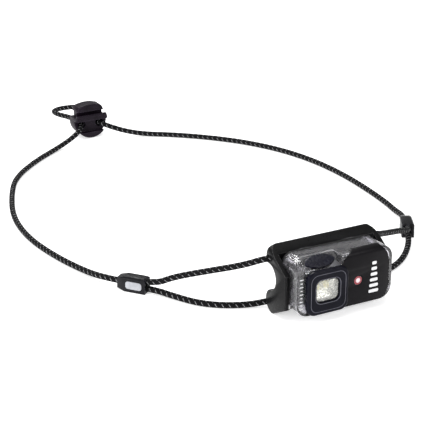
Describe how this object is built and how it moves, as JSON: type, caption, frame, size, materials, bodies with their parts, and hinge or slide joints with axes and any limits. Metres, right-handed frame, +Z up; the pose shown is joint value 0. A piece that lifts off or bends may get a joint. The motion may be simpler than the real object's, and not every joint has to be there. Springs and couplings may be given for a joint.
{
  "type": "headlamp",
  "caption": "Pocket headlamp: small clear-cased lamp head tilting in a black cradle, on a thin braided cord headband with cord yokes and a sprung cord lock.",
  "frame": {"origin": "on the surface that the cradle stands on, under the middle of the cradle and lamp head", "axes": "+X to the lamp's left as it is worn facing -Y, +Y from the lamp back along the headband, +Z up"},
  "size_m": [0.1666, 0.2819, 0.0279],
  "materials": {
    "cradle_plastic": "fine satin texture",
    "pad_foam": "closed-cell foam",
    "steel": "bright",
    "crimp_metal": "plain",
    "clear_plastic": "clear moulded plastic with bevelled edges",
    "seal_rubber": "smooth",
    "case_plastic": "fine satin texture",
    "panel_plastic": "half gloss with white marks",
    "bezel_plastic": "gloss, slightly blue black",
    "lens_plastic": "frosted dimples",
    "mirror_coat": "bright",
    "board_white": "solder mask",
    "led_yellow": "phosphor under clear resin",
    "red_plastic": "tinted clear plastic",
    "board_green": "solder mask",
    "switch_plastic": "plain",
    "cell_foil": "foil",
    "contact_metal": "plated",
    "cushion_foam": "soft foam",
    "button_rubber": "bluish black, soft gloss",
    "yoke_plastic": "satin",
    "lock_plastic": "fine sparkle texture",
    "cord_fabric": "braided, with pale reflective flecks"
  },
  "bodies": {
    "headband": {"cradle": "cradle_plastic", "forehead_pad": "pad_foam", "tilt_pins": "steel", "friction_washers": "steel", "strand_ferrules": "crimp_metal", "headband_cord": "cord_fabric", "strand_upper_left": "cord_fabric", "strand_lower_left": "cord_fabric", "strand_upper_right": "cord_fabric", "strand_lower_right": "cord_fabric", "yoke_left": "yoke_plastic", "yoke_right": "yoke_plastic", "yoke_left_crimp": "crimp_metal", "yoke_right_crimp": "crimp_metal"},
    "lamp_head": {"clear_shell": "clear_plastic", "case_seal": "seal_rubber", "rear_case": "case_plastic", "case_screws": "steel", "front_panel": "panel_plastic", "lens_bezel": "bezel_plastic", "beam_lens": "lens_plastic", "reflector": "mirror_coat", "led_board": "board_white", "white_leds": "led_yellow", "red_led": "red_plastic", "red_window": "red_plastic", "circuit_board": "board_green", "tact_switch": "switch_plastic", "battery_cell": "cell_foil", "cell_contacts": "contact_metal", "cell_cushion": "cushion_foam", "charging_port": "steel", "button_seal": "seal_rubber"},
    "power_button": {"power_button": "button_rubber"},
    "port_flap": {"port_flap": "seal_rubber"},
    "cord_lock": {"lock_barrel": "lock_plastic", "lock_spring": "steel"},
    "lock_button": {"lock_button": "lock_plastic"}
  },
  "joints": [
    {"name": "lamp_tilt", "type": "hinge", "parent": "headband", "child": "lamp_head", "pos_m": [0, -0.00175, 0.0065], "axis": [1, 0, 0], "range_deg": [0, 30]},
    {"name": "power_press", "type": "slide", "parent": "lamp_head", "child": "power_button", "axis": [0, 0.6074, -0.7944], "range_m": [0, 0.0006], "stiffness_N_per_m": 1500, "springref_m": -0.0004},
    {"name": "port_flap_swing", "type": "hinge", "parent": "lamp_head", "child": "port_flap", "pos_m": [0.0215, -0.00565, 0.0096], "axis": [0, 1, 0], "range_deg": [0, 90]},
    {"name": "lock_slide", "type": "slide", "parent": "headband", "child": "cord_lock", "axis": [0, 1, 0], "range_m": [0, 0.004]},
    {"name": "lock_press", "type": "slide", "parent": "cord_lock", "child": "lock_button", "axis": [0, 0, -1], "range_m": [0, 0.0016], "stiffness_N_per_m": 800, "springref_m": -0.002, "deforming": ["lock_spring"]}
  ]
}
